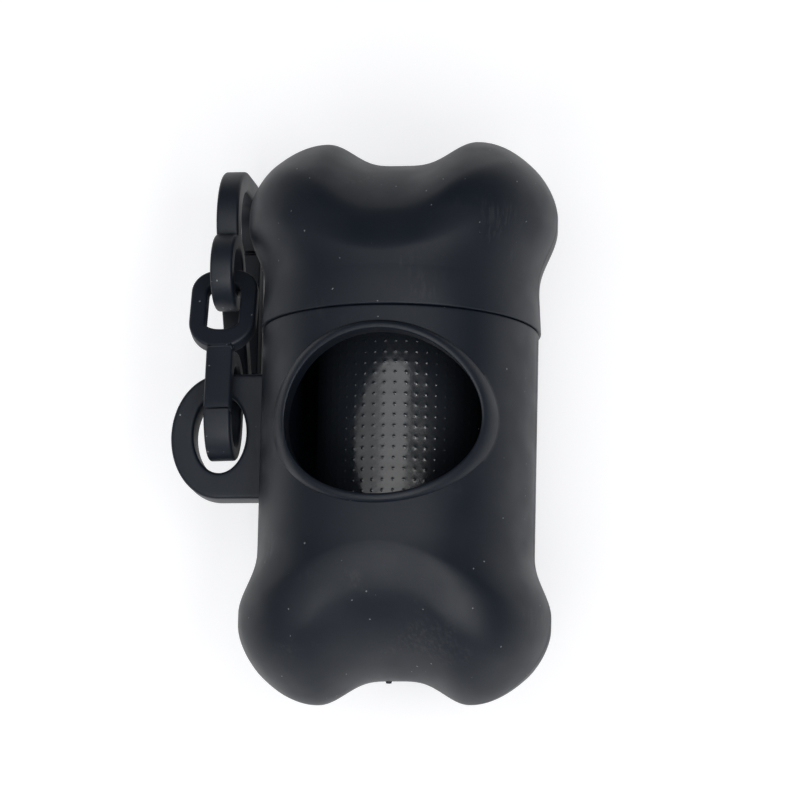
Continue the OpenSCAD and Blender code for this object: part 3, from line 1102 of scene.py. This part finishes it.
class NodeTree:
    """A node tree that is built node by node."""

    def __init__(self, tree: bpy.types.NodeTree) -> None:
        """Wraps an existing tree."""
        self.tree = tree

    def node(self, kind: str, values: dict | None = None, **settings: object) -> bpy.types.Node:
        """Adds a node.

        Args:
            kind: Type of the node.
            values: Sockets or constants by input name or number.
            settings: Properties of the node.

        Returns:
            The node.
        """
        made = self.tree.nodes.new(kind)
        for key, value in settings.items():
            setattr(made, key, value)
        connect(self.tree, made, values or {})
        return made

    def math(self, operation: str, *values: object, clamp: bool = False) -> bpy.types.NodeSocket:
        """Adds a math node and returns its output."""
        made = self.node("ShaderNodeMath", dict(enumerate(values)), operation=operation, use_clamp=clamp)
        return made.outputs[0]

    def length(self, across: bpy.types.NodeSocket, along: bpy.types.NodeSocket) -> bpy.types.NodeSocket:
        """Root of the sum of two squares."""
        squares = [self.math("MULTIPLY", side, side) for side in (across, along)]
        return self.math("SQRT", self.math("ADD", *squares))


class GeometryTree(NodeTree):
    """A geometry node tree with named inputs."""

    def __init__(self, name: str, inputs: list[tuple[str, str, object]]) -> None:
        """Makes the tree.

        Args:
            name: Name of the tree.
            inputs: Name, socket type and default of each input.
        """
        super().__init__(bpy.data.node_groups.new(name, "GeometryNodeTree"))
        self.tree.interface.new_socket("Geometry", in_out="INPUT", socket_type="NodeSocketGeometry")
        for label, kind, default in inputs:
            socket = self.tree.interface.new_socket(label, in_out="INPUT", socket_type=kind)
            if default is not None:
                socket.default_value = default
        self.tree.interface.new_socket("Geometry", in_out="OUTPUT", socket_type="NodeSocketGeometry")
        self.source = self.tree.nodes.new("NodeGroupInput")
        self.geometry = self.source.outputs["Geometry"]

    def input(self, label: str) -> bpy.types.NodeSocket:
        """The socket of a named input."""
        return self.source.outputs[label]

    def close(self, geometry: bpy.types.NodeSocket, material: bpy.types.NodeSocket) -> None:
        """Ends the tree with real geometry in a material."""
        real = self.node("GeometryNodeRealizeInstances", {0: geometry})
        dressed = self.node("GeometryNodeSetMaterial", {"Geometry": real.outputs[0], "Material": material})
        self.node("NodeGroupOutput", {0: dressed.outputs[0]})


def connect(tree: bpy.types.NodeTree, node: bpy.types.Node, values: dict) -> None:
    """Sets a node's inputs to constants or links them to sockets.

    Args:
        tree: The tree that holds the node.
        node: The node.
        values: Sockets or constants by input name or number.
    """
    for key, value in values.items():
        if isinstance(value, bpy.types.NodeSocket):
            tree.links.new(value, node.inputs[key])
        else:
            node.inputs[key].default_value = value


def apply_tree(piece: bpy.types.Object, tree: bpy.types.NodeTree, values: dict[str, object]
               ) -> bpy.types.Object:
    """Runs a geometry tree on a piece and keeps the result as a plain mesh.

    Args:
        piece: The piece.
        tree: The geometry tree.
        values: The tree's inputs by name.

    Returns:
        The same piece with its new mesh.
    """
    modifier = piece.modifiers.new(tree.name, "NODES")
    modifier.node_group = tree
    sockets = {item.name: item.identifier for item in tree.interface.items_tree if item.in_out == "INPUT"}
    for label, value in values.items():
        modifier[sockets[label]] = value
    result = bpy.data.meshes.new_from_object(piece.evaluated_get(bpy.context.evaluated_depsgraph_get()))
    piece.modifiers.remove(modifier)
    piece.data = result
    return piece


# ---------------------------------------------------------------- finishes


class ShaderTree(NodeTree):
    """A shader node tree, either a material's own or a group's."""

    def ramp(self, value: bpy.types.NodeSocket, low: float, high: float, to_low: float = 0.0,
             to_high: float = 1.0) -> bpy.types.NodeSocket:
        """Maps a value smoothly from one range to another."""
        made = self.node("ShaderNodeMapRange", {"Value": value, "From Min": low, "From Max": high,
                                                "To Min": to_low, "To Max": to_high},
                         interpolation_type="SMOOTHSTEP")
        return made.outputs[0]

    def blend(self, share: bpy.types.NodeSocket, low: object, high: object) -> bpy.types.NodeSocket:
        """Mixes two colours, each a socket or red, green and blue."""
        ends = [value if isinstance(value, bpy.types.NodeSocket) else (*value, 1) for value in (low, high)]
        made = self.node("ShaderNodeMix", {"Factor": share, 6: ends[0], 7: ends[1]}, data_type="RGBA")
        return made.outputs[2]

    def scale_of(self, size: bpy.types.NodeSocket) -> bpy.types.NodeSocket:
        """Texture scale for features of a size in metres."""
        return self.math("DIVIDE", 1.0, size)

    def group(self, inner: bpy.types.NodeTree, values: dict) -> bpy.types.Node:
        """Places a shader group with its values."""
        made = self.node("ShaderNodeGroup", node_tree=inner)
        connect(self.tree, made, values)
        return made


def new_group(name: str, inputs: list[tuple[str, str, object]], outputs: list[tuple[str, str]]) -> ShaderTree:
    """Makes a shader group with named sockets.

    Args:
        name: Name of the group.
        inputs: Name, socket type and default of each input.
        outputs: Name and socket type of each output.

    Returns:
        The group's tree, with its input node under "in" and output node under "out".
    """
    tree = bpy.data.node_groups.new(name, "ShaderNodeTree")
    for label, kind, default in inputs:
        socket = tree.interface.new_socket(label, in_out="INPUT", socket_type=kind)
        if default is not None:
            socket.default_value = default
    for label, kind in outputs:
        tree.interface.new_socket(label, in_out="OUTPUT", socket_type=kind)
    tree.nodes.new("NodeGroupInput").name = "in"
    tree.nodes.new("NodeGroupOutput").name = "out"
    return ShaderTree(tree)


def make_grain_group() -> bpy.types.NodeTree:
    """Fine moulded grain: a height and a slow, blotchy change of gloss."""
    group = new_group("moulded_grain", [
        ("Vector", "NodeSocketVector", None),
        ("Grain Size", "NodeSocketFloat", 0.3 * MM),
        ("Blotch Size", "NodeSocketFloat", 8.0 * MM)],
        [("Height", "NodeSocketFloat"), ("Blotch", "NodeSocketFloat")])
    source, sink = group.tree.nodes["in"].outputs, group.tree.nodes["out"].inputs
    fine = group.node("ShaderNodeTexNoise", {
        "Vector": source["Vector"], "Detail": 3.0, "Roughness": 0.6,
        "Scale": group.scale_of(source["Grain Size"])})
    slow = group.node("ShaderNodeTexNoise", {
        "Vector": source["Vector"], "Detail": 2.0, "Scale": group.scale_of(source["Blotch Size"])})
    group.tree.links.new(fine.outputs["Fac"], sink["Height"])
    group.tree.links.new(group.ramp(slow.outputs["Fac"], 0.35, 0.65), sink["Blotch"])
    return group.tree


def make_dust_group() -> bpy.types.NodeTree:
    """Sparse specks of dust and lint, as a mask."""
    group = new_group("dust_specks", [
        ("Vector", "NodeSocketVector", None),
        ("Cell", "NodeSocketFloat", 1.2 * MM),
        ("Speck", "NodeSocketFloat", 0.12),
        ("Share", "NodeSocketFloat", 0.2)],
        [("Mask", "NodeSocketFloat")])
    source, sink = group.tree.nodes["in"].outputs, group.tree.nodes["out"].inputs
    wobble = group.node("ShaderNodeTexNoise", {"Vector": source["Vector"], "Scale": 2500.0})
    shift = group.node("ShaderNodeVectorMath", {0: wobble.outputs["Color"], 3: 0.4 * MM}, operation="SCALE")
    moved = group.node("ShaderNodeVectorMath", {0: source["Vector"], 1: shift.outputs[0]}, operation="ADD")
    cells = group.node("ShaderNodeTexVoronoi", {
        "Vector": moved.outputs[0], "Scale": group.scale_of(source["Cell"]), "Randomness": 1.0})
    chosen = group.node("ShaderNodeSeparateColor", {"Color": cells.outputs["Color"]})
    size = group.math("MULTIPLY", source["Speck"], chosen.outputs["Green"])
    near = group.math("LESS_THAN", cells.outputs["Distance"], size)
    picked = group.math("LESS_THAN", chosen.outputs["Red"], source["Share"])
    group.tree.links.new(group.math("MULTIPLY", near, picked), sink["Mask"])
    return group.tree


def make_scuff_group() -> bpy.types.NodeTree:
    """Faint rubbed patches made of fine short streaks, as a mask."""
    group = new_group("handling_scuffs", [
        ("Vector", "NodeSocketVector", None),
        ("Patch Size", "NodeSocketFloat", 11.0 * MM),
        ("Streak Size", "NodeSocketFloat", 0.6 * MM),
        ("Share", "NodeSocketFloat", 0.6)],
        [("Mask", "NodeSocketFloat")])
    source, sink = group.tree.nodes["in"].outputs, group.tree.nodes["out"].inputs
    patch = group.node("ShaderNodeTexNoise", {
        "Vector": source["Vector"], "Detail": 3.0, "Scale": group.scale_of(source["Patch Size"])})
    stretched = group.node("ShaderNodeMapping", {
        "Vector": source["Vector"], "Rotation": (0.2, 0.4, 0.7), "Scale": (1.0, 0.16, 1.0)})
    streak = group.node("ShaderNodeTexNoise", {
        "Vector": stretched.outputs[0], "Detail": 4.0, "Roughness": 0.65,
        "Scale": group.scale_of(source["Streak Size"])})
    edge = group.math("ADD", source["Share"], 0.12)
    inside = group.node("ShaderNodeMapRange", {
        "Value": patch.outputs["Fac"], "From Min": source["Share"], "From Max": edge},
        interpolation_type="SMOOTHSTEP")
    fine = group.ramp(streak.outputs["Fac"], 0.42, 0.68)
    group.tree.links.new(group.math("MULTIPLY", inside.outputs[0], fine), sink["Mask"])
    return group.tree


@dataclass(frozen=True)
class MouldedPlastic:
    """Black moulded plastic with a satin face, faint blotches, rubbed patches and a little dust."""

    name: str
    color: tuple[float, float, float] = (0.0045, 0.0085, 0.0165)
    scuff_color: tuple[float, float, float] = (0.020, 0.023, 0.030)
    dust_color: tuple[float, float, float] = (0.22, 0.23, 0.24)
    refraction: float = 1.45
    gloss: tuple[float, float] = (0.46, 0.54)
    grain: float = 0.22 * MM
    bump: float = 0.012 * MM
    dust: float = 0.2
    dust_roughness: float = 0.3
    scuff_share: float = 0.58

    def build(self, grain: bpy.types.NodeTree, dust: bpy.types.NodeTree, scuffs: bpy.types.NodeTree
              ) -> bpy.types.Material:
        """Makes the material.

        Args:
            grain: Group of the moulded grain.
            dust: Group of the dust.
            scuffs: Group of the rubbed patches.

        Returns:
            The material.
        """
        material, tree, shader = new_material(self.name)
        place = tree.node("ShaderNodeTexCoord").outputs["Object"]
        surface = tree.group(grain, {"Vector": place, "Grain Size": self.grain})
        specks = tree.group(dust, {"Vector": place, "Share": self.dust})
        rubbed = tree.group(scuffs, {"Vector": place, "Share": self.scuff_share})
        worn = tree.blend(rubbed.outputs["Mask"], self.color, self.scuff_color)
        tint = tree.blend(specks.outputs["Mask"], worn, self.dust_color)
        gloss = tree.node("ShaderNodeMapRange", {
            "Value": surface.outputs["Blotch"], "To Min": self.gloss[0], "To Max": self.gloss[1]})
        dulled = tree.math("MULTIPLY", specks.outputs["Mask"], self.dust_roughness)
        rough = tree.math("ADD", gloss.outputs[0], dulled, clamp=True)
        shader.inputs["IOR"].default_value = self.refraction
        bump = tree.node("ShaderNodeBump", {"Height": surface.outputs["Height"], "Distance": self.bump,
                                            "Strength": 1.0})
        connect(tree.tree, shader, {"Base Color": tint, "Roughness": rough, "Normal": bump.outputs[0]})
        return material


@dataclass(frozen=True)
class GlossFilm:
    """Glossy black bag film with faint wrinkles between its embossed dots."""

    name: str = "bag_film"
    color: tuple[float, float, float] = (0.013, 0.016, 0.021)
    dust_color: tuple[float, float, float] = (0.3, 0.3, 0.3)
    gloss: tuple[float, float] = (0.17, 0.24)
    refraction: float = 1.75
    wrinkle: float = 0.02 * MM
    wrinkle_size: float = 1.1 * MM
    blotch_size: float = 5.0 * MM
    dust: float = 0.25
    dust_cell: float = 4.0 * MM
    dot_radius: float = 0.30 * MM
    dot_height: float = 0.05 * MM

    def build(self, grain: bpy.types.NodeTree, dust: bpy.types.NodeTree) -> bpy.types.Material:
        """Makes the material from the groups of grain and dust."""
        material, tree, shader = new_material(self.name)
        place = tree.node("ShaderNodeTexCoord").outputs["Object"]
        surface = tree.group(grain, {
            "Vector": place, "Grain Size": self.wrinkle_size, "Blotch Size": self.blotch_size})
        specks = tree.group(dust, {"Vector": place, "Share": self.dust, "Cell": self.dust_cell})
        tint = tree.blend(specks.outputs["Mask"], self.color, self.dust_color)
        gloss = tree.node("ShaderNodeMapRange", {
            "Value": surface.outputs["Blotch"], "To Min": self.gloss[0], "To Max": self.gloss[1]})
        wrinkled = tree.math("MULTIPLY", surface.outputs["Height"], self.wrinkle)
        height = tree.math("ADD", wrinkled, tree.math("MULTIPLY", self.dots(tree, place), self.dot_height))
        bump = tree.node("ShaderNodeBump", {"Height": height, "Distance": 1.0, "Strength": 1.0})
        shader.inputs["IOR"].default_value = self.refraction
        connect(tree.tree, shader, {
            "Base Color": tint, "Roughness": gloss.outputs[0], "Normal": bump.outputs[0]})
        return material


    def dots(self, tree: ShaderTree, place: bpy.types.NodeSocket) -> bpy.types.NodeSocket:
        """Crisp tips of the embossed dots, on the same grid as the raised ones.

        Args:
            tree: The material's tree.
            place: Object coordinates.

        Returns:
            Height of the tips, from 0 to 1.
        """
        roll = BagRoll()
        split = tree.node("ShaderNodeSeparateXYZ", {0: place})
        turn = tree.math("ARCTAN2", split.outputs[0], tree.math("SUBTRACT", split.outputs[2], roll.axis))
        share = tree.math("MULTIPLY", turn, roll.dots_round / (2 * math.pi))
        across = tree.math("MULTIPLY", tree.math("SUBTRACT", tree.math("FRACT", share), 0.5),
                           2 * math.pi * roll.radius / roll.dots_round)
        pitch = (roll.length - 2 * roll.edge) / roll.dot_rows
        row = tree.math("FRACT", tree.math("DIVIDE", split.outputs[1], pitch))
        along = tree.math("MULTIPLY", tree.math("SUBTRACT", row, 0.5), pitch)
        return tree.ramp(tree.length(across, along), self.dot_radius, 0.0)


@dataclass(frozen=True)
class WoundCard:
    """Grey-brown card of the roll's core, with fibres."""

    name: str = "core_card"
    color: tuple[float, float, float] = (0.30, 0.22, 0.14)
    fibre_color: tuple[float, float, float] = (0.40, 0.31, 0.21)
    fibre_size: float = 0.5 * MM
    fibre_height: float = 0.05 * MM
    blotch_size: float = 3.0 * MM
    roughness: float = 0.85

    def build(self, grain: bpy.types.NodeTree) -> bpy.types.Material:
        """Makes the material from the group of grain."""
        material, tree, shader = new_material(self.name)
        place = tree.node("ShaderNodeTexCoord").outputs["Object"]
        surface = tree.group(grain, {
            "Vector": place, "Grain Size": self.fibre_size, "Blotch Size": self.blotch_size})
        tint = tree.blend(surface.outputs["Height"], self.color, self.fibre_color)
        bump = tree.node("ShaderNodeBump", {
            "Height": surface.outputs["Height"], "Distance": self.fibre_height})
        shader.inputs["Roughness"].default_value = self.roughness
        connect(tree.tree, shader, {"Base Color": tint, "Normal": bump.outputs[0]})
        return material


def new_material(name: str) -> tuple[bpy.types.Material, ShaderTree, bpy.types.Node]:
    """Makes a node material and returns it with its tree and its shader."""
    material = bpy.data.materials.new(name)
    material.use_nodes = True
    return material, ShaderTree(material.node_tree), material.node_tree.nodes["Principled BSDF"]


def dress(piece: bpy.types.Object, material: bpy.types.Material) -> None:
    """Gives a piece one material."""
    piece.data.materials.clear()
    piece.data.materials.append(material)


# ---------------------------------------------------------------- studio


@dataclass(frozen=True)
class Panel:
    """A soft panel lamp that hangs level over the table."""

    name: str
    at: tuple[float, float, float]
    size: tuple[float, float]
    power: float

    def hang(self) -> None:
        """Puts the lamp in the scene."""
        data = bpy.data.lights.new(self.name, "AREA")
        data.shape = "RECTANGLE"
        data.size, data.size_y = self.size
        data.energy = self.power
        lamp = bpy.data.objects.new(self.name, data)
        lamp.location = self.at
        bpy.context.scene.collection.objects.link(lamp)


@dataclass
class Studio:
    """Pale table, soft lights and the camera."""

    table_color: tuple[float, float, float] = (0.45, 0.45, 0.455)
    table_glow: tuple[float, float, float] = (0.98, 0.985, 1.0)
    glow_strength: float = 0.70
    # painted shade: how far the occlusion reaches, and the occlusion range over which the table's seen glow
    # darkens in crevices near the pieces
    painted_shade_reach: float = 30.0 * MM
    painted_shade_share: tuple[float, float] = (0.06, 0.45)
    table_half: float = 1.6
    table_roughness: float = 0.6
    world_color: tuple[float, float, float] = (0.92, 0.95, 1.0)
    world_strength: float = 0.06
    panels: tuple[Panel, ...] = (
        Panel("right_panel", (0.60, -0.67, 1.0), (0.40, 1.50), 10.0),
        Panel("left_panel", (-1.0, -0.50, 1.0), (1.10, 1.75), 4.6),
        Panel("middle_panel", (-0.12, -0.80, 1.0), (0.60, 0.75), 4.6),
        Panel("far_panel", (-0.06, 0.06, 1.0), (0.72, 0.50), 1.75))
    camera_at: tuple[float, float, float] = (0.12716, -0.15681, 0.79482)
    camera_right: tuple[float, float, float] = (0.98725, 0.02234, -0.15761)
    camera_up: tuple[float, float, float] = (0.00997, 0.97948, 0.20128)
    camera_back: tuple[float, float, float] = (0.15887, -0.20028, 0.96677)
    lens: float = 236.0
    sensor: float = 36.0

    def build_table(self) -> None:
        """The table that the dispenser lies on; its paleness is seen but lights nothing, and its glow is
        darkened in crevices near the pieces as painted shade.
        """
        shell = Shell()
        edge = self.table_half
        corners = np.array([[[-edge, -edge, 0], [edge, -edge, 0]], [[-edge, edge, 0], [edge, edge, 0]]])
        shell.strip(corners, closed=False)
        table = shell.build("table")
        if table.data.polygons[0].normal.z < 0:
            table.data.flip_normals()
        material, tree, shader = new_material("pale_table")
        rays = tree.node("ShaderNodeLightPath")
        seen = tree.math("MAXIMUM", rays.outputs["Is Camera Ray"], rays.outputs["Is Glossy Ray"])
        seen = tree.math("MAXIMUM", seen, rays.outputs["Is Transmission Ray"])
        # painted shade: ambient occlusion darkens the table's seen glow in crevices next to the pieces
        painted_shade_occlusion = tree.node("ShaderNodeAmbientOcclusion", {"Distance": self.painted_shade_reach})
        seen = tree.math("MULTIPLY", seen, tree.ramp(painted_shade_occlusion.outputs["AO"], *self.painted_shade_share))
        glow = tree.blend(seen, (0.0, 0.0, 0.0), self.table_glow)
        shader.inputs["Roughness"].default_value = self.table_roughness
        shader.inputs["Base Color"].default_value = (*self.table_color, 1)
        shader.inputs["Emission Strength"].default_value = self.glow_strength
        connect(tree.tree, shader, {"Emission Color": glow})
        dress(table, material)

    def build_lights(self) -> None:
        """Level soft panels and a dim, even surround."""
        for panel in self.panels:
            panel.hang()
        world = bpy.data.worlds.new("surround")
        world.use_nodes = True
        background = world.node_tree.nodes["Background"]
        background.inputs["Color"].default_value = (*self.world_color, 1)
        background.inputs["Strength"].default_value = self.world_strength
        bpy.context.scene.world = world

    def build_camera(self) -> None:
        """The camera, looking down on the dispenser from a little to the right and below."""
        data = bpy.data.cameras.new("camera")
        data.lens = self.lens
        data.sensor_width = self.sensor
        data.clip_start = 0.01
        camera = bpy.data.objects.new("camera", data)
        axes = Matrix((self.camera_right, self.camera_up, self.camera_back)).transposed().to_4x4()
        camera.matrix_world = Matrix.Translation(self.camera_at) @ axes
        bpy.context.scene.collection.objects.link(camera)
        bpy.context.scene.camera = camera

    def build(self) -> None:
        """Sets up the whole studio."""
        self.build_camera()
        self.build_table()
        self.build_lights()
        bpy.context.scene.view_settings.view_transform = "Standard"


# ---------------------------------------------------------------- assembly


def place_piece(piece: bpy.types.Object, body: str, node: str,
                material: bpy.types.Material | None) -> None:
    """Puts a finished piece in the place of a node.

    Args:
        piece: The piece.
        body: Body that carries it.
        node: Node that it stands for.
        material: Its material, or None where it already has one.
    """
    if material is not None:
        dress(piece, material)
    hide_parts(node)
    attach(piece, body)
    LOG.info("%s: %d faces in place of %s", piece.name, len(piece.data.polygons), node)


def main() -> None:
    """Builds the studio and every piece of the dispenser."""
    logging.basicConfig(level=logging.INFO, format="%(name)s: %(message)s")
    Studio().build()
    grain, dust, scuffs = make_grain_group(), make_dust_group(), make_scuff_group()
    shell_plastic = MouldedPlastic("shell_plastic").build(grain, dust, scuffs)
    trim = MouldedPlastic("trim_plastic", color=(0.0085, 0.0125, 0.0205), dust=0.3)
    trim_plastic = trim.build(grain, dust, scuffs)
    film = GlossFilm().build(grain, dust)
    card = WoundCard().build(grain)

    case = Case()
    place_piece(case.build_body(), "case", "case_body", shell_plastic)
    place_piece(case.build_cap(), "cap", "cap", shell_plastic)
    place_piece(NeckRibs().build(shell_plastic), "case", "case_body", None)
    place_piece(GateStub().build(), "case", "case_body", shell_plastic)
    place_piece(BagRoll().build(film), "roll", "bag_roll", film)
    dress(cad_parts["roll_core"], card)
    place_piece(Link().build(), "link", "link", trim_plastic)
    clip = Clip()
    place_piece(clip.build_frame(), "clip", "clip_frame", trim_plastic)
    place_piece(clip.build_gate(), "gate", "clip_gate", trim_plastic)


if __name__ == "__main__":
    main()
